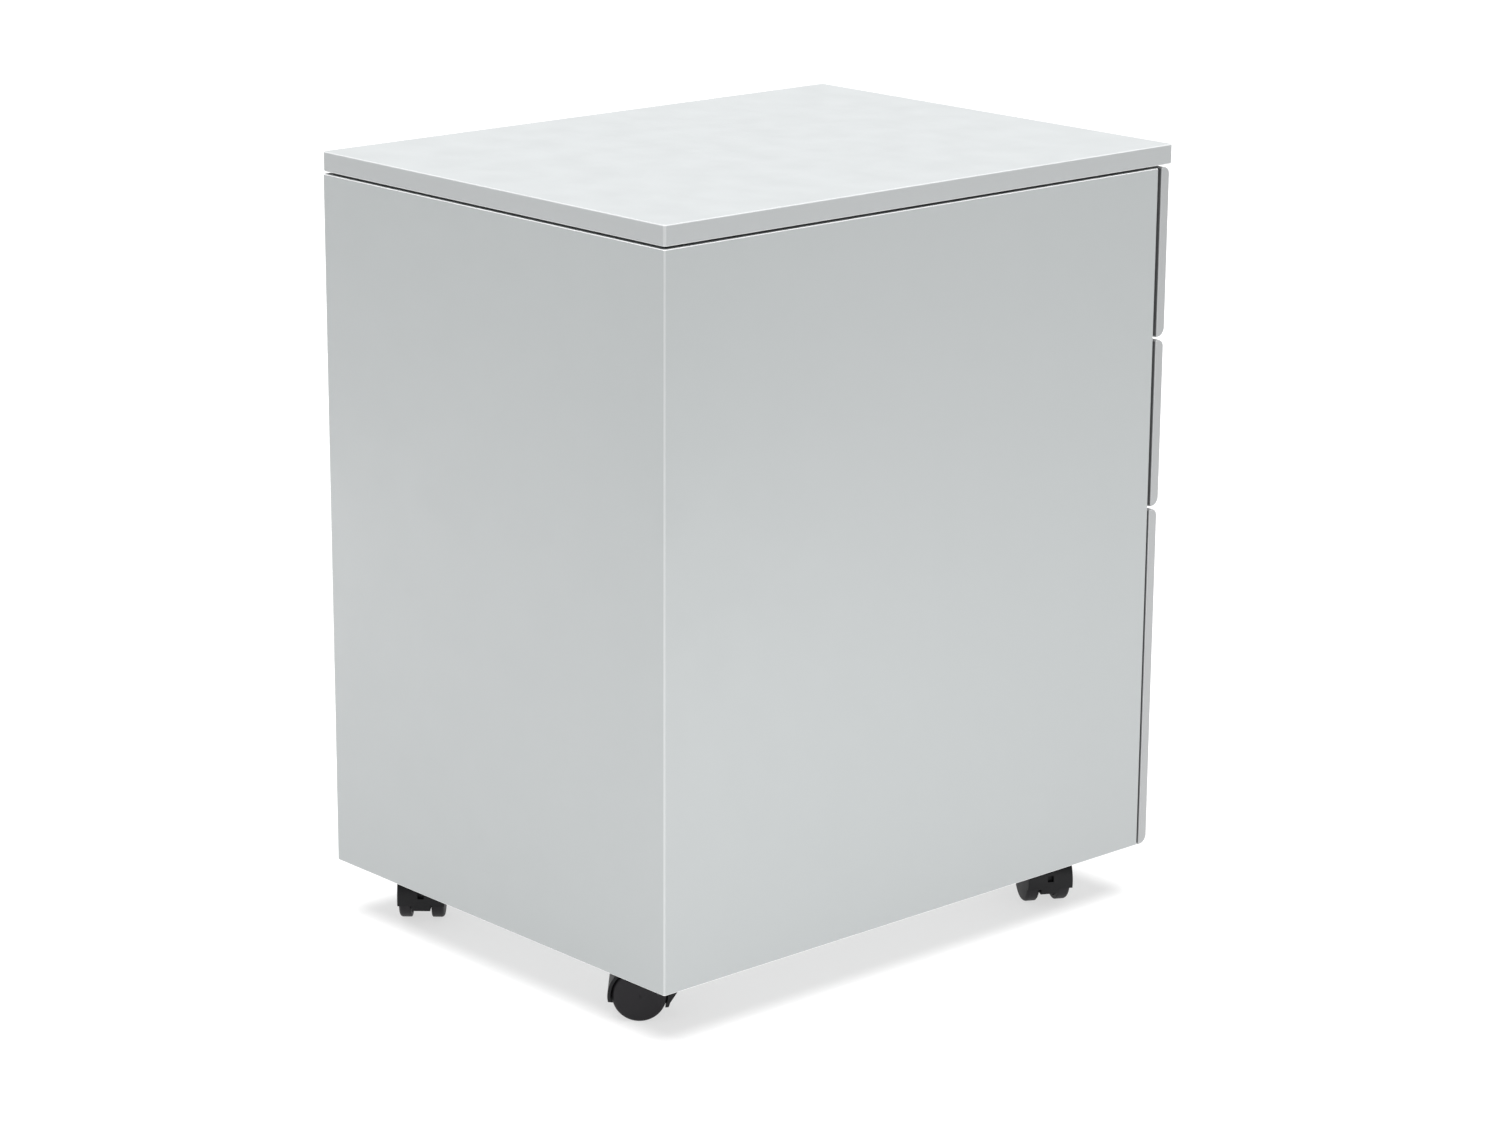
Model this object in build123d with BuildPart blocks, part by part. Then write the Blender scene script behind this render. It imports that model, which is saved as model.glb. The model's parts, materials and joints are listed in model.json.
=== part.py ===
from build123d import *
from math import cos, radians, sin
import os

# Rolling steel pedestal: a folded carcass with a thick top, three drawers on
# telescopic slides, a central lock and four hooded twin-wheel casters.
# Millimetres. +X is to the right seen from the front, the drawer fronts face
# -Y, +Z is up, and the origin is on the floor under the middle of the top.

# ---------------------------------------------------------------- overall size
WIDTH = 390.0
DEPTH = 512.5
HEIGHT = 600.0
FLOOR_GAP = 40.0          # floor to the lower edge of the body
TOP_THICK = 15.2
GROOVE = 1.8              # shadow groove between body and top
SHEET = 1.0               # body, front and drawer sheet
BAR = 1.2                 # heavier sheet: slides, uprights, base pan
SLACK = 0.2               # clearance round a fixed screw or tube

X_OUT = WIDTH / 2
Y_BACK = DEPTH / 2
Y_TOP_FRONT = -DEPTH / 2
Z_BODY = HEIGHT - TOP_THICK - GROOVE
BODY_HEIGHT = Z_BODY - FLOOR_GAP

# ---------------------------------------------------------------- drawer fronts
FRONT_THICK = 8.5
OVERHANG = 16.3           # the top's front edge stands out this far past the carcass
FRONT_GAP = 2.5           # between one front and the next
STANDOFF = [4.5, 4.0, 2.8]  # from the carcass edge to each closed front, top to bottom
FRONT_ROUND_TOP = 5.5
FRONT_ROUND_BOTTOM = 7.0
END_BEND = 0.8            # outer radius round the closed ends of a front
BOX_HEIGHT = 131.75
FILE_HEIGHT = BODY_HEIGHT - 2 * (BOX_HEIGHT + FRONT_GAP)
Y_CARCASS = Y_TOP_FRONT + OVERHANG

# ---------------------------------------------------------------- carcass
BEND = 2.0                # outer radius of the two rear corners
EDGE_BEND = 1.0           # outer radius where the flanges turn in
FRONT_RETURN = 14.0       # width of the returns beside the drawers
LOW_FLANGE = 10.0
HIGH_FLANGE = 18.0
BASE_Z = 55.0             # underside of the base pan
BASE_TOP = BASE_Z + BAR
X_IN = X_OUT - SHEET
Y_IN = Y_BACK - SHEET
RAIL_HEIGHT = 40.0
RAIL_DEPTH = 25.0
RAIL_LIP = 8.0
Y_RAIL = Y_CARCASS + SHEET
TOP_SCREW_R = 2.0
SCREW_SPOTS = [(side * 150, y) for side in (-1, 1) for y in (Y_RAIL + 12, Y_IN - 11)]

# ---------------------------------------------------------------- drawers and slides
X_SLIDE = X_OUT - FRONT_RETURN        # outer face of a slide
SLIDE_THICK = 12.7
SLIDE_LENGTH = 430.0
Y_SLIDE = Y_CARCASS + 5.0
X_TRAY = X_SLIDE - SLIDE_THICK        # outer face of a drawer box
Y_TRAY_REAR = Y_SLIDE + SLIDE_LENGTH
TRAY_HEIGHT = 80.0
TRAY_LIFT = 8.0                       # box drawer floor above its front's lower edge
FILE_TRAY_LIFT = 24.0
FILE_TRAY_HEIGHT = 236.0
HEM = 6.0
FRONT_TAB = 15.0
SLIDE_LIFT = 28.0                     # slide centre above the drawer floor
FILE_SLIDE_LIFT = 60.0
# Each member: its web's two faces, how far its lips reach, half its height.
BOX_MEMBERS = [
    ("outer", X_SLIDE - BAR, X_SLIDE, X_TRAY + 3.0, 17.5),
    ("inner", X_TRAY, X_TRAY + BAR, X_SLIDE - 3.5, 12.0),
]
FILE_MEMBERS = [
    ("outer", X_SLIDE - BAR, X_SLIDE, X_TRAY + 3.0, 23.0),
    ("inner", X_TRAY, X_TRAY + BAR, X_TRAY + 2.6, 10.0),
    ("middle", X_TRAY + 2.9, X_TRAY + 2.9 + BAR, X_SLIDE - 2.4, 17.5),
]

# ---------------------------------------------------------------- pulls
PULL_WIDTH = 122.0
PULL_HEIGHT = 44.0
PULL_RIM = 4.0
PULL_RIM_THICK = 0.9
PULL_WALL = 2.0
PULL_LIP = 14.0           # the strip that fingers hook behind
Y_PULL_REAR = Y_CARCASS + 5.0
PULL_CORNER = 6.0
PULL_FIT = 0.3
PULL_EDGE = 0.7

# ---------------------------------------------------------------- lock
LOCK_X = 152.0
LOCK_Z = Z_BODY - 22.0
HOUSING_R = 9.0
HOUSING_FLANGE_R = 12.0
BARREL_R = 6.0
KEYWAY = (0.8, 3.5, 12.0)  # half width, half height, depth
CAM_R = 9.0
LOCK_HOLE_R = HOUSING_R + 1.5
RUNNING = 0.05            # radial clearance of every turning fit
CAM_PIN_R = 2.0
LOCK_LIFT = 8.0           # travel of the lock bar
CAM_THROW = LOCK_LIFT / 2 / sin(radians(45))
BAR_X = 182.5
BAR_WIDTH = 12.0
BAR_THICK = 2.0
Y_BAR = Y_CARCASS + 7.0
TAB_HEIGHT = 6.0
TAB_LENGTH = 11.5
TAB_GAP = 2.0

# ---------------------------------------------------------------- casters
WHEEL_R = 20.0
WHEEL_WIDTH = 10.4
CASTER_WIDTH = 36.5
TRAIL = 16.0
AXLE_R = 2.5
KINGPIN_R = 4.0
COLLAR_R = 8.0
HOOD_R = 23.3
WELL_R = 21.0
WEB_WIDTH = 14.5
HOOD_TOP = 49.0
PLATE_THICK = 2.0
CASTERS = {
    "rear_left": ((-142.0, 212.5), 47.3),
    "rear_right": ((149.0, 206.0), 137.3),
    "front_left": ((-141.0, -183.0), 150.6),
    "front_right": ((141.0, -183.0), -62.0),
}
PLATE_SIZE = (50.0, 42.0)
SCREW_PITCH = (38.0, 32.0)
SCREW_R = 2.5
SCREW_HEAD = (4.5, 3.0)   # radius and height

os.makedirs("parts", exist_ok=True)


def save(piece, name):
    """Label a finished piece and write it to its own file."""
    piece.part.label = name
    export_step(piece.part, f"parts/{name}.step")


def save_solids(pieces, name):
    """Write pieces that touch but are separate solids to one file."""
    group = Compound([piece.part.solid() for piece in pieces])
    group.label = name
    export_step(group, f"parts/{name}.step")


def block(low, high, mode=Mode.ADD):
    """A box between two corners, added to or cut from the piece being built."""
    size = [b - a for a, b in zip(low, high)]
    middle = tuple((a + b) / 2 for a, b in zip(low, high))
    with Locations(middle):
        Box(*size, mode=mode)


def rod(start, radius, length, axis, mode=Mode.ADD):
    """A cylinder from a point, along an axis."""
    with Locations(Plane(origin=start, z_dir=axis)):
        Cylinder(radius, length, align=(Align.CENTER, Align.CENTER, Align.MIN), mode=mode)


def span(side, near, far):
    """The ordered x range between two distances from the middle, on one side."""
    return sorted((side * near, side * far))


# ================================================================ carcass
# One sheet wraps both sides and the back. Its edges turn in as flanges above
# and below, and as returns beside the drawers.
with BuildPart() as carcass_wrap:
    block((-X_OUT, Y_CARCASS, FLOOR_GAP), (X_OUT, Y_BACK, Z_BODY))
    rear_corners = carcass_wrap.edges().filter_by(Axis.Z).group_by(Axis.Y)[-1]
    fillet(rear_corners, BEND)
    rims = carcass_wrap.edges().group_by(Axis.Z)
    fillet(rims[0] + rims[-1], EDGE_BEND)
    block((-X_IN, Y_CARCASS + SHEET, FLOOR_GAP + SHEET), (X_IN, Y_IN, Z_BODY - SHEET), Mode.SUBTRACT)
    opening_x = X_OUT - FRONT_RETURN
    block((-opening_x, Y_CARCASS, FLOOR_GAP), (opening_x, Y_RAIL, Z_BODY), Mode.SUBTRACT)
    low_x = X_IN - LOW_FLANGE
    block((-low_x, Y_CARCASS, FLOOR_GAP), (low_x, Y_IN - LOW_FLANGE, FLOOR_GAP + SHEET), Mode.SUBTRACT)
    high_x = X_IN - HIGH_FLANGE
    block((-high_x, Y_CARCASS, Z_BODY - SHEET), (high_x, Y_IN - HIGH_FLANGE, Z_BODY), Mode.SUBTRACT)
    for x, y in SCREW_SPOTS:
        rod((x, y, Z_BODY - 5), TOP_SCREW_R + SLACK, 10, (0, 0, 1), Mode.SUBTRACT)
save(carcass_wrap, "carcass_wrap")

# The base pan stands on the lower flanges and carries the casters.
with BuildPart() as base_pan:
    block((-X_IN, Y_RAIL, FLOOR_GAP + SHEET), (X_IN, Y_IN, BASE_TOP))
    fillet(base_pan.edges().filter_by(Axis.Z).group_by(Axis.Y)[-1], BEND)
    block(
        (-X_IN + BAR, Y_RAIL + BAR, FLOOR_GAP + SHEET),
        (X_IN - BAR, Y_IN - BAR, BASE_Z),
        Mode.SUBTRACT,
    )
    for (x, y), _ in CASTERS.values():
        with Locations((x, y, BASE_Z)):
            with GridLocations(*SCREW_PITCH, 2, 2):
                Cylinder(SCREW_R + SLACK, 4 * BAR, mode=Mode.SUBTRACT)
save(base_pan, "base_pan")

# The rail over the drawer opening holds the lock and the front of the top.
with BuildPart() as front_top_rail:
    rail_low = Z_BODY - RAIL_HEIGHT
    block((-X_IN, Y_RAIL, rail_low), (X_IN, Y_RAIL + SHEET, Z_BODY - SHEET))
    block((-high_x, Y_RAIL, Z_BODY - SHEET), (high_x, Y_RAIL + RAIL_DEPTH, Z_BODY))
    block((-opening_x, Y_RAIL, rail_low), (opening_x, Y_RAIL + RAIL_LIP, rail_low + SHEET))
    rod((LOCK_X, Y_RAIL - 1, LOCK_Z), HOUSING_R + SLACK, 10, (0, 1, 0), Mode.SUBTRACT)
    for x, y in SCREW_SPOTS:
        rod((x, y, Z_BODY - 5), TOP_SCREW_R + SLACK, 10, (0, 0, 1), Mode.SUBTRACT)
save(front_top_rail, "front_top_rail")

# Two channel uprights on each side hold the slides off the side walls.
UPRIGHT_WIDTH = 40.0
UPRIGHT_Y = (-190.0, 150.0)
for side, side_name in ((-1, "left"), (1, "right")):
    with BuildPart() as uprights:
        for y in UPRIGHT_Y:
            low_y = y - UPRIGHT_WIDTH / 2
            high_y = y + UPRIGHT_WIDTH / 2
            web = span(side, X_SLIDE, X_SLIDE + BAR)
            block((web[0], low_y, BASE_TOP), (web[1], high_y, Z_BODY - SHEET))
            leg = span(side, X_SLIDE + BAR, X_IN)
            for edge in (low_y, high_y - BAR):
                block((leg[0], edge, BASE_TOP), (leg[1], edge + BAR, Z_BODY - SHEET))
    save(uprights, f"{side_name}_slide_uprights")

# Rubber buffers on the returns keep each closed front off the carcass.
BUFFER_R = 4.0
FRONT_LOW = [
    FLOOR_GAP + FILE_HEIGHT + 2 * FRONT_GAP + BOX_HEIGHT,
    FLOOR_GAP + FILE_HEIGHT + FRONT_GAP,
    FLOOR_GAP,
]
FRONT_TALL = [BOX_HEIGHT, BOX_HEIGHT, FILE_HEIGHT]
with BuildPart() as front_buffers:
    for low, tall, standoff in zip(FRONT_LOW, FRONT_TALL, STANDOFF):
        for side in (-1, 1):
            centre = (side * (X_SLIDE + BUFFER_R), Y_CARCASS - standoff, low + tall / 2)
            rod(centre, BUFFER_R, standoff, (0, 1, 0))
save(front_buffers, "front_buffers")

# ================================================================ top
# A folded steel pan over a board core, on a dark spacer that makes the groove.
SPACER_INSET = 6.0
SPACER_WIDTH = 12.0
TOP_CORNER = 3.0
TOP_EDGE = 1.2
TOP_FLANGE = 8.0
Z_TOP_LOW = HEIGHT - TOP_THICK
with BuildPart() as top_spacer:
    spacer_front = Y_CARCASS + SPACER_INSET
    spacer_x = X_OUT - SPACER_INSET
    spacer_back = Y_BACK - SPACER_INSET
    block((-spacer_x, spacer_front, Z_BODY), (spacer_x, spacer_back, Z_TOP_LOW))
    block(
        (-spacer_x + SPACER_WIDTH, spacer_front + SPACER_WIDTH, Z_BODY),
        (spacer_x - SPACER_WIDTH, spacer_back - SPACER_WIDTH, Z_TOP_LOW),
        Mode.SUBTRACT,
    )
    for x, y in SCREW_SPOTS:
        rod((x, y, Z_BODY - 1), TOP_SCREW_R + SLACK, 10, (0, 0, 1), Mode.SUBTRACT)
save(top_spacer, "top_spacer")

with BuildPart() as top_cover:
    block((-X_OUT, Y_TOP_FRONT, Z_TOP_LOW), (X_OUT, Y_BACK, HEIGHT))
    fillet(top_cover.edges().filter_by(Axis.Z), TOP_CORNER)
    top_rims = top_cover.edges().group_by(Axis.Z)
    fillet(top_rims[0] + top_rims[-1], TOP_EDGE)
    with BuildSketch(Plane.XY.offset(Z_TOP_LOW + SHEET)):
        RectangleRounded(WIDTH - 2 * SHEET, DEPTH - 2 * SHEET, TOP_CORNER - SHEET)
    extrude(amount=TOP_THICK - 2 * SHEET, mode=Mode.SUBTRACT)
    with BuildSketch(Plane.XY.offset(Z_TOP_LOW)):
        Rectangle(WIDTH - 2 * (SHEET + TOP_FLANGE), DEPTH - 2 * (SHEET + TOP_FLANGE))
    extrude(amount=SHEET, mode=Mode.SUBTRACT)
save(top_cover, "top_cover")

with BuildPart() as top_core:
    with BuildSketch(Plane.XY.offset(Z_TOP_LOW + SHEET)):
        RectangleRounded(WIDTH - 2 * SHEET, DEPTH - 2 * SHEET, TOP_CORNER - SHEET)
    extrude(amount=TOP_THICK - 2 * SHEET)
    for x, y in SCREW_SPOTS:
        rod((x, y, Z_TOP_LOW), TOP_SCREW_R + SLACK, 10, (0, 0, 1), Mode.SUBTRACT)
save(top_core, "top_core")

TOP_SCREW_HEAD = (4.0, 2.5)            # radius and height
with BuildPart() as top_screws:
    for x, y in SCREW_SPOTS:
        rod((x, y, Z_BODY - SHEET - TOP_SCREW_HEAD[1]), *TOP_SCREW_HEAD, (0, 0, 1))
        rod((x, y, Z_BODY - SHEET), TOP_SCREW_R, 12, (0, 0, 1))
save(top_screws, "top_screws")

# ================================================================ lock
# The housing stays on the rail and passes through a hole in the top front, so
# the top drawer slides off over it.
Y_HOUSING = Y_CARCASS - STANDOFF[0] - FRONT_THICK - 1.0
Y_CAM = Y_CARCASS + 12.0
CAM_THICK = 2.0
with BuildPart() as lock_housing:
    rod((LOCK_X, Y_HOUSING, LOCK_Z), HOUSING_R, Y_CAM - Y_HOUSING - 1, (0, 1, 0))
    chamfer(lock_housing.edges().group_by(Axis.Y)[0], 0.8)
    rod((LOCK_X, Y_RAIL + SHEET, LOCK_Z), HOUSING_FLANGE_R, 3, (0, 1, 0))
    rod((LOCK_X, Y_HOUSING - 1, LOCK_Z), BARREL_R + RUNNING, 60, (0, 1, 0), Mode.SUBTRACT)
save(lock_housing, "lock_housing")

with BuildPart() as lock_barrel:
    rod((LOCK_X, Y_HOUSING + 0.2, LOCK_Z), BARREL_R, Y_CAM - Y_HOUSING - 0.2, (0, 1, 0))
    block(
        (LOCK_X - KEYWAY[0], Y_HOUSING, LOCK_Z - KEYWAY[1]),
        (LOCK_X + KEYWAY[0], Y_HOUSING + KEYWAY[2], LOCK_Z + KEYWAY[1]),
        Mode.SUBTRACT,
    )
save(lock_barrel, "lock_barrel")

pin_x = LOCK_X - CAM_THROW * cos(radians(45))
pin_z = LOCK_Z - CAM_THROW * sin(radians(45))
with BuildPart() as lock_cam:
    rod((LOCK_X, Y_CAM, LOCK_Z), CAM_R, CAM_THICK, (0, 1, 0))
    rod((pin_x, Y_CAM, pin_z), CAM_PIN_R, 9, (0, 1, 0))
save(lock_cam, "lock_cam")

# The lock bar stands on the base pan beside the slides. Turning the cam lifts
# it, and a tab comes up in front of a lug on each drawer.
LUG_LIFT = [58.0, 58.0, 150.0]
TRAY_LOW = [FRONT_LOW[0] + TRAY_LIFT, FRONT_LOW[1] + TRAY_LIFT, FRONT_LOW[2] + FILE_TRAY_LIFT]
TRAY_TALL = [TRAY_HEIGHT, TRAY_HEIGHT, FILE_TRAY_HEIGHT]
ARM_HALF = 7.0
Y_TAB = Y_BAR + 8.0
Y_ARM = Y_CAM + CAM_THICK + 2.0
with BuildPart() as lock_bar:
    block((BAR_X, Y_BAR, BASE_TOP), (BAR_X + BAR_THICK, Y_BAR + BAR_WIDTH, pin_z + ARM_HALF))
    for low, lug in zip(TRAY_LOW, LUG_LIFT):
        tab_top = low + lug - TAB_GAP
        block((BAR_X - TAB_LENGTH, Y_TAB, tab_top - TAB_HEIGHT), (BAR_X, Y_TAB + BAR_THICK, tab_top))
    block((LOCK_X - 12, Y_ARM, pin_z - ARM_HALF), (BAR_X, Y_ARM + BAR_THICK, pin_z + ARM_HALF))
    slot_half = CAM_PIN_R + 0.4
    block(
        (LOCK_X - CAM_THROW - slot_half, Y_ARM, pin_z - slot_half),
        (pin_x + slot_half, Y_ARM + BAR_THICK, pin_z + slot_half),
        Mode.SUBTRACT,
    )
save(lock_bar, "lock_bar")

# ================================================================ drawers
TAB_REACH = 178.0         # how far a lug stands out beside the drawer box
Y_LUG = Y_TAB + BAR_THICK + 2.0
for number in (1, 2, 3):
    index = number - 1
    low = FRONT_LOW[index]
    tall = FRONT_TALL[index]
    high = low + tall
    tray_low = TRAY_LOW[index]
    tray_high = tray_low + TRAY_TALL[index]
    pull_z = high - BOX_HEIGHT / 2
    y_rear = Y_CARCASS - STANDOFF[index]
    y_face = y_rear - FRONT_THICK
    drawer = f"drawer_{number}"

    # Front skin: a folded pan, rounded along its upper and lower front edges.
    with BuildPart() as front_skin:
        block((-X_OUT, y_face, low), (X_OUT, y_rear, high))
        face_edges = front_skin.edges().filter_by(Axis.X).group_by(Axis.Y)[0].sort_by(Axis.Z)
        fillet(face_edges[-1], FRONT_ROUND_TOP)
        face_edges = front_skin.edges().filter_by(Axis.X).group_by(Axis.Y)[0].sort_by(Axis.Z)
        fillet(face_edges[0], FRONT_ROUND_BOTTOM)
        fillet(front_skin.faces().filter_by(Axis.X).edges(), END_BEND)
        with BuildSketch(Plane.YZ.offset(-X_IN)):
            with Locations(((y_face + SHEET + y_rear) / 2, (low + high) / 2)):
                pocket = Rectangle(FRONT_THICK - SHEET, tall - 2 * SHEET)
            corners = pocket.vertices().group_by(Axis.Y)[0].sort_by(Axis.Z)
            fillet(corners[0], FRONT_ROUND_BOTTOM - SHEET)
            fillet(corners[-1], FRONT_ROUND_TOP - SHEET)
        extrude(amount=2 * X_IN, mode=Mode.SUBTRACT)
        with BuildSketch(Plane.XZ.offset(-y_face)):
            with Locations((0, pull_z)):
                RectangleRounded(PULL_WIDTH + 2 * PULL_FIT, PULL_HEIGHT + 2 * PULL_FIT, PULL_CORNER)
        extrude(amount=-2 * SHEET, mode=Mode.SUBTRACT)
        if number == 1:
            rod((LOCK_X, y_face - 1, LOCK_Z), LOCK_HOLE_R, 4, (0, 1, 0), Mode.SUBTRACT)
    save(front_skin, f"{drawer}_front_skin")

    # Liner: closes the pan and carries the drawer box.
    with BuildPart() as front_liner:
        block((-X_IN, y_rear - SHEET, low + SHEET), (X_IN, y_rear, high - SHEET))
        with BuildSketch(Plane.XZ.offset(-y_rear)):
            with Locations((0, pull_z)):
                RectangleRounded(PULL_WIDTH + 2 * PULL_FIT, PULL_HEIGHT + 2 * PULL_FIT, PULL_CORNER)
        extrude(amount=2 * SHEET, mode=Mode.SUBTRACT)
        if number == 1:
            rod((LOCK_X, y_face, LOCK_Z), LOCK_HOLE_R, 20, (0, 1, 0), Mode.SUBTRACT)
    save(front_liner, f"{drawer}_front_liner")

    # Recessed pull: a moulded cup with a lip across its upper part.
    with BuildPart() as pull:
        with BuildSketch(Plane.XZ.offset(-y_face)):
            with Locations((0, pull_z)):
                RectangleRounded(PULL_WIDTH, PULL_HEIGHT, PULL_CORNER - PULL_FIT)
        extrude(amount=-(Y_PULL_REAR - y_face))
        with BuildSketch(Plane.XZ.offset(-y_face)):
            with Locations((0, pull_z)):
                RectangleRounded(
                    PULL_WIDTH + 2 * PULL_RIM, PULL_HEIGHT + 2 * PULL_RIM, PULL_CORNER + PULL_RIM
                )
        extrude(amount=PULL_RIM_THICK)
        inner_height = PULL_HEIGHT - 2 * PULL_WALL
        with BuildSketch(Plane.XZ.offset(-(y_face + PULL_WALL))):
            with Locations((0, pull_z)):
                RectangleRounded(
                    PULL_WIDTH - 2 * PULL_WALL, inner_height, PULL_CORNER - PULL_WALL
                )
        extrude(amount=-(Y_PULL_REAR - y_face - 2 * PULL_WALL), mode=Mode.SUBTRACT)
        mouth_height = inner_height - PULL_LIP
        with BuildSketch(Plane.XZ.offset(-(y_face - PULL_RIM_THICK))):
            with Locations((0, pull_z - PULL_LIP / 2)):
                RectangleRounded(
                    PULL_WIDTH - 2 * PULL_WALL, mouth_height, PULL_CORNER - PULL_WALL
                )
        extrude(amount=-(PULL_RIM_THICK + PULL_WALL), mode=Mode.SUBTRACT)
        fillet(pull.edges().group_by(Axis.Y)[0], PULL_EDGE)
    save(pull, f"{drawer}_pull")

    # Drawer box: floor, sides and back in one folded sheet, with hemmed edges
    # and tabs against the liner, and a riveted lug for the lock bar.
    with BuildPart() as tray:
        x_inner = X_TRAY - SHEET
        block((-X_TRAY, y_rear, tray_low), (X_TRAY, Y_TRAY_REAR, tray_high))
        fillet(tray.edges().filter_by(Axis.Y).group_by(Axis.Z)[0], EDGE_BEND)
        block(
            (-x_inner, y_rear, tray_low + SHEET),
            (x_inner, Y_TRAY_REAR - SHEET, tray_high),
            Mode.SUBTRACT,
        )
        rear_hem = Y_TRAY_REAR - SHEET - HEM
        block((-x_inner, rear_hem, tray_high - SHEET), (x_inner, Y_TRAY_REAR - SHEET, tray_high))
        for side in (-1, 1):
            hem = span(side, x_inner - HEM, x_inner)
            block((hem[0], y_rear, tray_high - SHEET), (hem[1], rear_hem, tray_high))
            tab = span(side, x_inner - FRONT_TAB, x_inner)
            block(
                (tab[0], y_rear, tray_low + SHEET),
                (tab[1], y_rear + SHEET, tray_high - SHEET),
            )
    with BuildPart() as lug:
        lug_low = tray_low + LUG_LIFT[index]
        block((X_TRAY, Y_LUG, lug_low), (TAB_REACH, Y_LUG + 5, lug_low + TAB_HEIGHT))
    save_solids([tray, lug], f"{drawer}_tray")

    # Slides: a channel on the uprights and a channel on the drawer box. The
    # file drawer has a third, middle channel between them.
    if number == 3:
        slide_z = tray_low + FILE_SLIDE_LIFT
        members = FILE_MEMBERS
    else:
        slide_z = tray_low + SLIDE_LIFT
        members = BOX_MEMBERS
    for side, side_name in ((-1, "left"), (1, "right")):
        for member_name, web_near, web_far, lip_end, half in members:
            with BuildPart() as member:
                web = span(side, web_near, web_far)
                y_end = Y_SLIDE + SLIDE_LENGTH
                block((web[0], Y_SLIDE, slide_z - half), (web[1], y_end, slide_z + half))
                lip = span(side, lip_end, web_far if member_name == "inner" else web_near)
                for lip_low in (slide_z - half, slide_z + half - BAR):
                    block((lip[0], Y_SLIDE, lip_low), (lip[1], y_end, lip_low + BAR))
            save(member, f"{drawer}_slide_{member_name}_{side_name}")

# The pencil tray hangs on the hems at the front of the top drawer.
PENCIL_X = 160.0
PENCIL_MIDDLE = 45.0      # half the width of the middle cell
PENCIL_Y = (-230.0, -148.0)
PENCIL_DEEP = 26.0
PENCIL_WALL = 1.6
PENCIL_CORNER = 6.0
pencil_top = TRAY_LOW[0] + TRAY_HEIGHT
with BuildPart() as pencil_tray:
    block((-PENCIL_X, PENCIL_Y[0], pencil_top - PENCIL_DEEP), (PENCIL_X, PENCIL_Y[1], pencil_top))
    block(
        (-PENCIL_X - HEM, PENCIL_Y[0], pencil_top),
        (PENCIL_X + HEM, PENCIL_Y[1], pencil_top + PENCIL_WALL),
    )
    fillet(pencil_tray.edges().filter_by(Axis.Z), PENCIL_CORNER / 2)
    cells = (-PENCIL_X, -PENCIL_MIDDLE, PENCIL_MIDDLE, PENCIL_X)
    for cell_low, cell_high in zip(cells, cells[1:]):
        with BuildSketch(Plane.XY.offset(pencil_top - PENCIL_DEEP + PENCIL_WALL)):
            with Locations(((cell_low + cell_high) / 2, sum(PENCIL_Y) / 2)):
                RectangleRounded(
                    cell_high - cell_low - 2 * PENCIL_WALL,
                    PENCIL_Y[1] - PENCIL_Y[0] - 2 * PENCIL_WALL,
                    PENCIL_CORNER,
                )
        extrude(amount=PENCIL_DEEP, mode=Mode.SUBTRACT)
save(pencil_tray, "pencil_tray")

# Two rails along the file drawer carry hanging folders.
HANGING_RAIL = (2.0, 8.0)
rail_z = TRAY_LOW[2] + FILE_TRAY_HEIGHT
with BuildPart() as hanging_rails:
    for side in (-1, 1):
        rail = span(side, X_TRAY - 5, X_TRAY - 5 + HANGING_RAIL[0])
        block(
            (rail[0], Y_SLIDE, rail_z),
            (rail[1], Y_TRAY_REAR - 4, rail_z + HANGING_RAIL[1]),
        )
save(hanging_rails, "hanging_rails")

# ================================================================ casters
# Each caster: a plate with its kingpin, a hood that swivels on it, an axle and
# two wheels. The plates and the screws of all four are one node each.
KINGPIN_LOW = 27.0
with BuildPart() as caster_plates:
    for (x, y), _ in CASTERS.values():
        with Locations((x, y, BASE_Z - PLATE_THICK / 2)):
            Box(*PLATE_SIZE, PLATE_THICK)
            with GridLocations(*SCREW_PITCH, 2, 2):
                Cylinder(SCREW_R + SLACK, 2 * PLATE_THICK, mode=Mode.SUBTRACT)
        rod((x, y, HOOD_TOP + 1), COLLAR_R, BASE_Z - PLATE_THICK - HOOD_TOP - 1, (0, 0, 1))
        rod((x, y, KINGPIN_LOW), KINGPIN_R, BASE_Z - PLATE_THICK - KINGPIN_LOW, (0, 0, 1))
save(caster_plates, "caster_plates")

with BuildPart() as caster_screws:
    for (x, y), _ in CASTERS.values():
        with Locations((x, y, 0)):
            with GridLocations(*SCREW_PITCH, 2, 2):
                with Locations((0, 0, BASE_Z - PLATE_THICK - SCREW_HEAD[1] / 2)):
                    Cylinder(*SCREW_HEAD)
                with Locations((0, 0, BASE_Z + 2)):
                    Cylinder(SCREW_R, 8)
save(caster_screws, "caster_screws")

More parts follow.
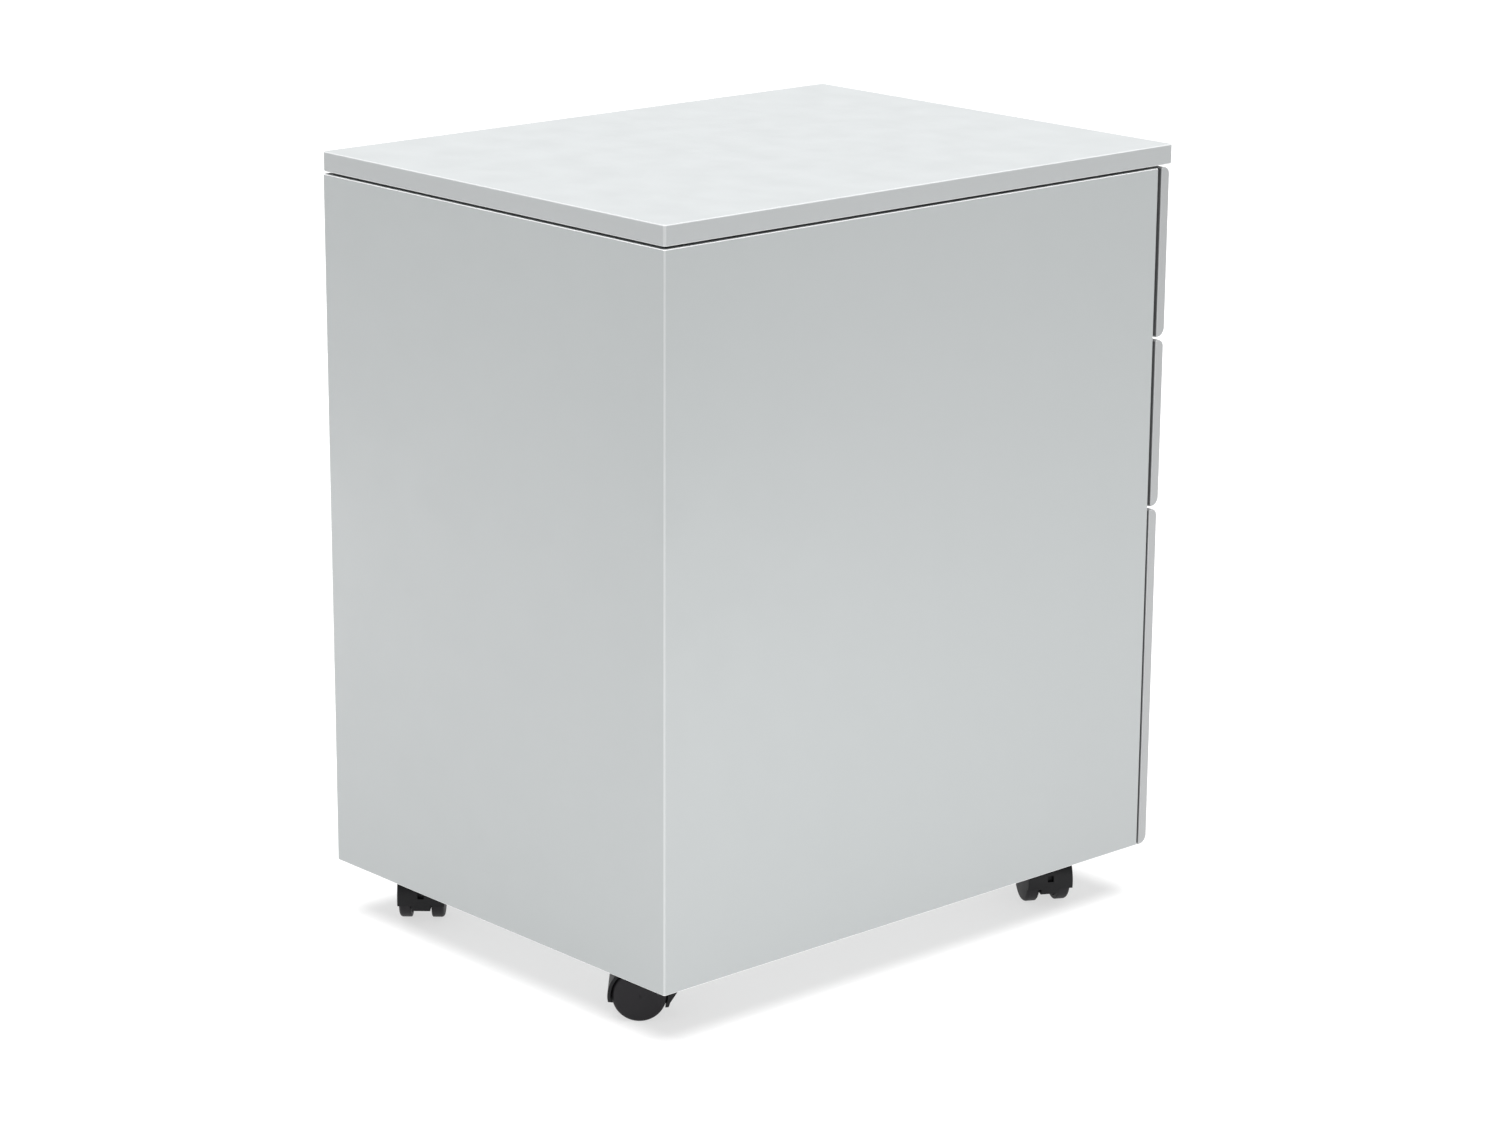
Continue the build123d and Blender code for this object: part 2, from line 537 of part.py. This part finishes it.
BOSS_R = 13.0
STEM_HALF = 17.0
HOOD_CORNER = 0.8
HOOD_EDGE = 0.6
HOOD_END = 11.0           # height of the hood's trailing end, between the wheels
RIM_END = 15.5            # height of its rim over the wheels
CHIN = [(-5.7, 13.0), (-12.2, 22.0), (-14.0, 28.0), (-14.0, 45.5), (16.0, 43.3), (16.0, 20.0)]
SLOT = (5.0, 21.5, 26.5)  # width, low and high edge of the slot in the trailing side
DISC_R = WHEEL_R - 2.6    # the wheel's outer face inside its rounded rim
DOME = 0.7
DOME_R = (DISC_R**2 + DOME**2) / (2 * DOME)
for caster, ((x, y), angle) in CASTERS.items():
    trail = Vector(cos(radians(angle)), sin(radians(angle)), 0)
    axle_dir = Vector(trail.Y, -trail.X, 0)
    side_view = Plane(origin=(x, y, 0), x_dir=trail, z_dir=axle_dir)
    plan_view = Plane(origin=(x, y, 0), x_dir=axle_dir, z_dir=(0, 0, 1))
    across = CASTER_WIDTH / 2

    # Hood: the side outline across the full width, trimmed to a plan that
    # narrows round the kingpin, with a well each side for the wheels.
    with BuildPart() as hood:
        with BuildSketch(side_view.offset(-across)) as side_outline:
            with Locations((TRAIL, WHEEL_R)):
                Circle(HOOD_R)
            with BuildLine():
                Polyline(*CHIN, close=True)
            make_face()
            with Locations((TRAIL, 0)):
                Rectangle(4 * HOOD_R, 2 * HOOD_END, mode=Mode.SUBTRACT)
            fillet(side_outline.vertices(), HOOD_CORNER)
        extrude(amount=CASTER_WIDTH)
        with BuildSketch(plan_view):
            Circle(STEM_HALF)
            with Locations((0, 2 * TRAIL)):
                Rectangle(CASTER_WIDTH, 4 * TRAIL - 6)
        extrude(amount=HEIGHT, mode=Mode.INTERSECT)
        fillet(hood.edges(), HOOD_EDGE)
        with BuildSketch(plan_view.offset(HOOD_TOP)):
            Circle(BOSS_R)
        extrude(amount=-(HOOD_TOP - WHEEL_R - WELL_R))
        for side in (-1, 1):
            with BuildSketch(side_view.offset(side * WEB_WIDTH / 2)):
                with Locations((TRAIL, WHEEL_R)):
                    Circle(WELL_R)
                with Locations((TRAIL + HOOD_R, RIM_END / 2)):
                    Rectangle(2 * HOOD_R, RIM_END)
            extrude(amount=side * across, mode=Mode.SUBTRACT)
        with BuildSketch(plan_view.offset(KINGPIN_LOW - 1)):
            Circle(KINGPIN_R + RUNNING)
        extrude(amount=HEIGHT, mode=Mode.SUBTRACT)
        with BuildSketch(side_view.offset(-across)):
            with Locations((TRAIL, WHEEL_R)):
                Circle(AXLE_R + RUNNING / 5)
        extrude(amount=CASTER_WIDTH, mode=Mode.SUBTRACT)
        with BuildSketch(plan_view.offset(SLOT[1])):
            with Locations((0, TRAIL + HOOD_R)):
                Rectangle(SLOT[0], 8)
        extrude(amount=SLOT[2] - SLOT[1], mode=Mode.SUBTRACT)
    save(hood, f"caster_{caster}_hood")

    axle_half = across - 4
    with BuildPart() as axle:
        with BuildSketch(side_view.offset(-axle_half)):
            with Locations((TRAIL, WHEEL_R)):
                Circle(AXLE_R)
        extrude(amount=2 * axle_half)
    save(axle, f"caster_{caster}_axle")

    # Wheel: a tyre wall, a closed outer face, slightly domed, and a hub.
    hub = Vector(x, y, WHEEL_R) + trail * TRAIL
    for side, side_name in ((-1, "a"), (1, "b")):
        radial = Plane(origin=hub, x_dir=(0, 0, 1), z_dir=axle_dir.cross(Vector(0, 0, 1)) * side)
        inner = across - WHEEL_WIDTH
        with BuildPart() as wheel:
            with BuildSketch(radial):
                with BuildLine():
                    Polyline(
                        (WHEEL_R - 0.6, inner),
                        (WHEEL_R, inner + 0.6),
                        (WHEEL_R, across - 3.0),
                    )
                    RadiusArc((WHEEL_R, across - 3.0), (DISC_R, across - DOME), -2.8)
                    RadiusArc((DISC_R, across - DOME), (0, across), -DOME_R)
                    Polyline(
                        (0, across),
                        (0, axle_half + 0.5),
                        (AXLE_R + RUNNING, axle_half + 0.5),
                        (AXLE_R + RUNNING, inner + 0.2),
                        (6.0, inner + 0.2),
                        (6.0, across - 2.6),
                        (WHEEL_R - 3.2, across - 2.6),
                        (WHEEL_R - 3.2, inner),
                        (WHEEL_R - 0.6, inner),
                    )
                make_face()
            revolve(axis=Axis(hub, axle_dir), revolution_arc=360)
        save(wheel, f"caster_{caster}_wheel_{side_name}")
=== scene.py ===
import json
from math import cos, radians, sin

import bpy
from mathutils import Matrix, Vector


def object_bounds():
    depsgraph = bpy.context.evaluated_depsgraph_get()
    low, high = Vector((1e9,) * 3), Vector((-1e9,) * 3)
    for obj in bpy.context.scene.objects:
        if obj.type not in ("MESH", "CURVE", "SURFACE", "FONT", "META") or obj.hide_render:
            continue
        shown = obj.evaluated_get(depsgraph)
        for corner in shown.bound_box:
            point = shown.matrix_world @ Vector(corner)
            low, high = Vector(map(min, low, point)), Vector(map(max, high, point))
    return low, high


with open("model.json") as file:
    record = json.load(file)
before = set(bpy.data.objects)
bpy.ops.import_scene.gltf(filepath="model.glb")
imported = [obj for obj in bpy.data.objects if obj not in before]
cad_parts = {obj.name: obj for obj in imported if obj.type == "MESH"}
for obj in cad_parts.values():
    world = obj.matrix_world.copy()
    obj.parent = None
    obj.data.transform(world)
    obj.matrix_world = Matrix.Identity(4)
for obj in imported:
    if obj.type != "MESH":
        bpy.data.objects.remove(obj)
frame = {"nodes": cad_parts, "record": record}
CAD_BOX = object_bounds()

RECORD = frame["record"]
SCENE = bpy.context.scene

# ------------------------------------------------------------------ camera
# A long lens behind and to the left of the cabinet, a little above it.
AZIMUTH, ELEVATION, ROLL = radians(227.76), radians(15.42), radians(0.35)
DISTANCE = 3.184
LENS, SENSOR = 98.825, 36.0
BACK_TO_AIM = 0.2575     # from the back panel to the point that the camera circles
AIM = Vector((0.0, CAD_BOX[1][1] - BACK_TO_AIM, CAD_BOX[1][2] / 2))
OFFSET_RIGHT, OFFSET_DOWN = 0.0002, -0.0239


def add_camera():
    back = Vector((sin(AZIMUTH) * cos(ELEVATION), -cos(AZIMUTH) * cos(ELEVATION), sin(ELEVATION)))
    right = (-back).cross(Vector((0, 0, 1))).normalized()
    up = right.cross(-back)
    rolled_right = right * cos(ROLL) + up * sin(ROLL)
    rolled_up = up * cos(ROLL) - right * sin(ROLL)
    place = AIM + back * DISTANCE - rolled_right * OFFSET_RIGHT + rolled_up * OFFSET_DOWN
    data = bpy.data.cameras.new("camera")
    data.lens = LENS
    data.sensor_width = SENSOR
    data.clip_end = 100.0
    camera = bpy.data.objects.new("camera", data)
    turn = Matrix((rolled_right, rolled_up, back)).transposed().to_4x4()
    camera.matrix_world = Matrix.Translation(place) @ turn
    SCENE.collection.objects.link(camera)
    SCENE.camera = camera


# ------------------------------------------------------------------ studio
SUN_ANGLE = radians(60)
WORLD_LIGHT = 0.365
OVERHEAD = 5.6
SIDE_FILL = 1.12
END_FILL = 0.56
LOW_FILL_AWAY = 0.50     # how far each low box stands from the cabinet
LOW_FILL_UP = 0.12
LOW_FILL_HEIGHT = 0.2
FLOOR_GLOW = 0.62
FLOOR_SIZE = 40.0


def add_light(name, kind, energy, place, turn, **settings):
    data = bpy.data.lights.new(name, kind)
    data.energy = energy
    for key, value in settings.items():
        setattr(data, key, value)
    light = bpy.data.objects.new(name, data)
    light.location = place
    light.rotation_euler = turn
    SCENE.collection.objects.link(light)
    return light


def add_studio():
    SCENE.view_settings.view_transform = "Standard"
    world = bpy.data.worlds.new("studio")
    world.use_nodes = True
    background = world.node_tree.nodes["Background"]
    background.inputs["Color"].default_value = (1.0, 1.0, 1.0, 1.0)
    background.inputs["Strength"].default_value = WORLD_LIGHT
    SCENE.world = world

    add_light("overhead", "SUN", OVERHEAD, (0, 0, 3), (0, 0, 0), angle=SUN_ANGLE)
    # A long, low soft box beside each side lifts the lower part of the faces.
    half_width, half_depth = CAD_BOX[1][0], CAD_BOX[1][1]
    for name, place, length, energy in (
        ("left", (-half_width - LOW_FILL_AWAY, 0.12, LOW_FILL_UP), 0.9, SIDE_FILL),
        ("back", (-0.10, half_depth + LOW_FILL_AWAY, LOW_FILL_UP), 0.7, END_FILL),
        ("right", (half_width + LOW_FILL_AWAY, 0.12, LOW_FILL_UP), 0.9, SIDE_FILL),
        ("front", (-0.10, -half_depth - LOW_FILL_AWAY, LOW_FILL_UP), 0.7, END_FILL),
    ):
        facing = Vector((0, place[1], 0)) if name in ("back", "front") else Vector((place[0], 0, 0))
        turn = (-facing).to_track_quat("-Z", "Y").to_euler()
        fill = add_light(
            f"low_fill_{name}", "AREA", energy, place, turn,
            shape="RECTANGLE", size=length, size_y=LOW_FILL_HEIGHT,
        )
        fill.visible_camera = False

    half = FLOOR_SIZE / 2
    mesh = bpy.data.meshes.new("floor")
    corners = [(-half, -half, 0), (half, -half, 0), (half, half, 0), (-half, half, 0)]
    mesh.from_pydata(corners, [], [(0, 1, 2, 3)])
    floor = bpy.data.objects.new("floor", mesh)
    SCENE.collection.objects.link(floor)
    surface, tree = new_material("floor_paper")
    set_inputs(shader(tree), {
        "Base Color": (0.35, 0.35, 0.35, 1),
        "Roughness": 0.9,
        "Specular IOR Level": 0.1,
        "Emission Color": (1.0, 1.0, 1.0, 1),
        "Emission Strength": FLOOR_GLOW,
    })
    mesh.materials.append(surface)


# ------------------------------------------------------------------ node helpers
def new_material(name):
    material = bpy.data.materials.new(name)
    material.use_nodes = True
    return material, material.node_tree


def shader(tree):
    return tree.nodes["Principled BSDF"]


def set_inputs(node, values):
    for key, value in values.items():
        node.inputs[key].default_value = value
    return node


def add(tree, kind, inputs=None, **settings):
    node = tree.nodes.new(kind)
    for key, value in settings.items():
        setattr(node, key, value)
    if inputs:
        set_inputs(node, inputs)
    return node


def object_point(tree, stretch=(1, 1, 1)):
    """Object coordinates in metres, stretched along an axis where the texture runs."""
    place = add(tree, "ShaderNodeTexCoord")
    mapping = add(tree, "ShaderNodeMapping")
    mapping.inputs["Scale"].default_value = stretch
    tree.links.new(place.outputs["Object"], mapping.inputs["Vector"])
    return mapping.outputs["Vector"]


def noise(tree, vector, scale, detail=2.0, roughness=0.5):
    node = add(tree, "ShaderNodeTexNoise", {"Scale": scale, "Detail": detail, "Roughness": roughness})
    tree.links.new(vector, node.inputs["Vector"])
    return node.outputs["Fac"]


def spread(tree, value, low, high, from_low=0.3, from_high=0.7):
    """A value mapped from one range to another."""
    node = add(tree, "ShaderNodeMapRange", {
        "From Min": from_low, "From Max": from_high, "To Min": low, "To Max": high,
    })
    tree.links.new(value, node.inputs["Value"])
    return node.outputs["Result"]


def blend_colours(tree, value, first, second, low=0.35, high=0.65):
    ramp = add(tree, "ShaderNodeValToRGB")
    ramp.color_ramp.elements[0].position = low
    ramp.color_ramp.elements[0].color = (*first, 1)
    ramp.color_ramp.elements[1].position = high
    ramp.color_ramp.elements[1].color = (*second, 1)
    tree.links.new(value, ramp.inputs["Fac"])
    return ramp.outputs["Color"]


def bump(tree, height, strength, distance, below=None):
    node = add(tree, "ShaderNodeBump", {"Strength": strength, "Distance": distance})
    tree.links.new(height, node.inputs["Height"])
    if below is not None:
        tree.links.new(below, node.inputs["Normal"])
    return node.outputs["Normal"]


# ------------------------------------------------------------------ materials
def bend_highlight_mask(tree):
    """Two values for the painted highlight on bends: 1 along the middle of bends and rounded edges and 0 on
    faces square to the cabinet, then how far the surface faces up or down."""
    geometry = add(tree, "ShaderNodeNewGeometry")
    size = add(tree, "ShaderNodeVectorMath", operation="ABSOLUTE")
    tree.links.new(geometry.outputs["True Normal"], size.inputs[0])
    parts = add(tree, "ShaderNodeSeparateXYZ")
    tree.links.new(size.outputs["Vector"], parts.inputs["Vector"])
    first = add(tree, "ShaderNodeMath", operation="MAXIMUM")
    tree.links.new(parts.outputs["X"], first.inputs[0])
    tree.links.new(parts.outputs["Y"], first.inputs[1])
    largest = add(tree, "ShaderNodeMath", operation="MAXIMUM")
    tree.links.new(first.outputs["Value"], largest.inputs[0])
    tree.links.new(parts.outputs["Z"], largest.inputs[1])
    return spread(tree, largest.outputs["Value"], 1.0, 0.0, 0.88, 0.95), parts.outputs["Z"]


# How much upright bends are lightened as a painted highlight.
UPRIGHT_BEND_HIGHLIGHT = 0.22


def powder_coat(name, cool, warm, rough=(0.40, 0.50), peel=0.10, painted_highlight=0.30):
    """Satin powder coat: orange peel, a fine tooth, a slow drift in tint, a painted highlight along bends.
    """
    material, tree = new_material(name)
    point = object_point(tree)
    drift = noise(tree, point, 2.2, detail=0.0)
    grain = noise(tree, point, 2600.0, detail=1.0)
    colour = blend_colours(tree, drift, cool, warm)
    mix = add(tree, "ShaderNodeMixRGB", {"Fac": 0.035}, blend_type="OVERLAY")
    tree.links.new(colour, mix.inputs["Color1"])
    tree.links.new(grain, mix.inputs["Color2"])
    peel_height = noise(tree, point, 620.0, detail=2.0)
    tooth = bump(tree, grain, 0.05, 0.00006)
    normal = bump(tree, peel_height, peel, 0.00022, below=tooth)
    lighter = add(tree, "ShaderNodeMixRGB", {"Color2": (0.88, 0.885, 0.89, 1)})
    bend, upright = bend_highlight_mask(tree)
    # Painted highlight: bends that face up or down are lightened by the edge amount passed in, upright ones
    # by the upright constant.
    share = spread(tree, upright, UPRIGHT_BEND_HIGHLIGHT, painted_highlight, 0.05, 0.30)
    strength = add(tree, "ShaderNodeMath", operation="MULTIPLY")
    tree.links.new(bend, strength.inputs[0])
    tree.links.new(share, strength.inputs[1])
    tree.links.new(strength.outputs["Value"], lighter.inputs["Fac"])
    tree.links.new(mix.outputs["Color"], lighter.inputs["Color1"])
    surface = shader(tree)
    tree.links.new(lighter.outputs["Color"], surface.inputs["Base Color"])
    tree.links.new(spread(tree, noise(tree, point, 30.0, detail=3.0), *rough), surface.inputs["Roughness"])
    tree.links.new(normal, surface.inputs["Normal"])
    return material


def zinc_sheet(name, tint, spangle=140.0):
    """Galvanised sheet: a faint spangle of crystals and a streaky dull shine."""
    material, tree = new_material(name)
    point = object_point(tree)
    cells = add(tree, "ShaderNodeTexVoronoi", {"Scale": spangle, "Randomness": 1.0})
    tree.links.new(point, cells.inputs["Vector"])
    level = add(tree, "ShaderNodeRGBToBW")
    tree.links.new(cells.outputs["Color"], level.inputs["Color"])
    dark = tuple(0.86 * value for value in tint)
    surface = shader(tree)
    set_inputs(surface, {"Metallic": 1.0})
    colour = blend_colours(tree, level.outputs["Val"], dark, tint, 0.1, 0.9)
    tree.links.new(colour, surface.inputs["Base Color"])
    tree.links.new(spread(tree, level.outputs["Val"], 0.32, 0.46, 0.1, 0.9), surface.inputs["Roughness"])
    streaks = noise(tree, object_point(tree, (900, 60, 60)), 1.0, detail=3.0)
    tree.links.new(bump(tree, streaks, 0.08, 0.0001), surface.inputs["Normal"])
    return material


def rolled_steel(name, tint, along="Y"):
    """Bright plated strip with fine lines along its length."""
    material, tree = new_material(name)
    stretch = {"X": (20, 1500, 1500), "Y": (1500, 20, 1500), "Z": (1500, 1500, 20)}[along]
    lines = noise(tree, object_point(tree, stretch), 1.0, detail=4.0, roughness=0.6)
    dull = noise(tree, object_point(tree), 45.0, detail=3.0)
    surface = shader(tree)
    set_inputs(surface, {"Metallic": 1.0, "Anisotropic": 0.4})
    shade = tuple(0.90 * value for value in tint)
    tree.links.new(blend_colours(tree, dull, shade, tint), surface.inputs["Base Color"])
    tree.links.new(spread(tree, lines, 0.22, 0.38), surface.inputs["Roughness"])
    tree.links.new(bump(tree, lines, 0.12, 0.00004), surface.inputs["Normal"])
    return material


def moulded(name, first, second, rough=(0.38, 0.50), grain=1500.0, depth=0.10, gloss=0.5):
    """Moulded plastic: a spark-eroded grain, faint mottling, uneven gloss."""
    material, tree = new_material(name)
    point = object_point(tree)
    texture = noise(tree, point, grain, detail=3.0, roughness=0.6)
    mottle = noise(tree, point, 60.0, detail=3.0)
    surface = shader(tree)
    set_inputs(surface, {"Specular IOR Level": gloss})
    tree.links.new(blend_colours(tree, mottle, first, second), surface.inputs["Base Color"])
    tree.links.new(spread(tree, mottle, *rough), surface.inputs["Roughness"])
    tree.links.new(bump(tree, texture, depth, 0.00012), surface.inputs["Normal"])
    return material


def nickel(name):
    """Satin nickel with turned lines."""
    material, tree = new_material(name)
    lines = noise(tree, object_point(tree), 900.0, detail=2.0)
    smudge = noise(tree, object_point(tree), 120.0, detail=2.0)
    surface = shader(tree)
    set_inputs(surface, {"Metallic": 1.0})
    colour = blend_colours(tree, smudge, (0.55, 0.54, 0.52), (0.66, 0.65, 0.63))
    tree.links.new(colour, surface.inputs["Base Color"])
    tree.links.new(spread(tree, smudge, 0.16, 0.28), surface.inputs["Roughness"])
    tree.links.new(bump(tree, lines, 0.04, 0.00003), surface.inputs["Normal"])
    return material


def chipboard(name):
    """Raw board: flakes of two tints."""
    material, tree = new_material(name)
    cells = add(tree, "ShaderNodeTexVoronoi", {"Scale": 260.0, "Randomness": 1.0})
    tree.links.new(object_point(tree, (1, 1, 2.5)), cells.inputs["Vector"])
    level = add(tree, "ShaderNodeRGBToBW")
    tree.links.new(cells.outputs["Color"], level.inputs["Color"])
    surface = shader(tree)
    set_inputs(surface, {"Roughness": 0.85})
    tree.links.new(
        blend_colours(tree, level.outputs["Val"], (0.42, 0.29, 0.17), (0.66, 0.50, 0.32), 0.1, 0.9),
        surface.inputs["Base Color"],
    )
    tree.links.new(bump(tree, level.outputs["Val"], 0.3, 0.0004), surface.inputs["Normal"])
    return material


def make_materials():
    return {
        # The body paint carries the full painted highlight along its bends.
        "body_paint": powder_coat("body_paint", (0.402, 0.422, 0.424), (0.408, 0.425, 0.428), painted_highlight=1.0),
        "top_paint": powder_coat("top_paint", (0.405, 0.420, 0.424), (0.410, 0.424, 0.428)),
        "front_paint": powder_coat("front_paint", (0.372, 0.380, 0.384), (0.378, 0.384, 0.388)),
        # The front liners are dark grey: painted shade for the gap between the body and the drawer fronts.
        "liner_painted_shade": powder_coat("liner_painted_shade", (0.130, 0.132, 0.135), (0.136, 0.138, 0.141)),
        "drawer_paint": powder_coat("drawer_paint", (0.40, 0.42, 0.42), (0.43, 0.435, 0.44)),
        "galvanised_steel": zinc_sheet("galvanised_steel", (0.62, 0.63, 0.64)),
        "slide_steel": rolled_steel("slide_steel", (0.66, 0.66, 0.67)),
        "zinc_plate": zinc_sheet("zinc_plate", (0.60, 0.60, 0.60), 400.0),
        "zinc_screws": zinc_sheet("zinc_screws", (0.68, 0.68, 0.67), 900.0),
        "lock_chrome": nickel("lock_chrome"),
        # The spacer ring in the top groove is near-black: painted shade for the shadow gap between the body
        # and the top.
        "groove_black": moulded("groove_black", (0.006, 0.006, 0.006), (0.009, 0.009, 0.009), (0.8, 0.9)),
        "core_board": chipboard("core_board"),
        "buffer_rubber": moulded("buffer_rubber", (0.014, 0.014, 0.014), (0.022, 0.022, 0.022), (0.6, 0.75)),
        "pull_plastic": moulded("pull_plastic", (0.115, 0.118, 0.122), (0.130, 0.133, 0.137), (0.42, 0.52)),
        "tray_plastic": moulded("tray_plastic", (0.020, 0.020, 0.022), (0.028, 0.028, 0.030)),
        "caster_nylon": moulded(
            "caster_nylon", (0.007, 0.007, 0.008), (0.010, 0.010, 0.011), (0.45, 0.55), gloss=0.22,
        ),
        "wheel_nylon": moulded(
            "wheel_nylon", (0.013, 0.012, 0.014), (0.016, 0.015, 0.017), (0.45, 0.56), gloss=0.22,
        ),
    }


def paint_nodes(materials):
    for part in RECORD["subparts"]:
        mesh = frame["nodes"][part["node"]].data
        mesh.materials.clear()
        # The liners take the dark painted-shade paint instead of their own slot.
        slot = "liner_painted_shade" if part["node"].endswith("_front_liner") else part["material_slot"]
        mesh.materials.append(materials[slot])


add_camera()
add_studio()
MATERIALS = make_materials()
paint_nodes(MATERIALS)
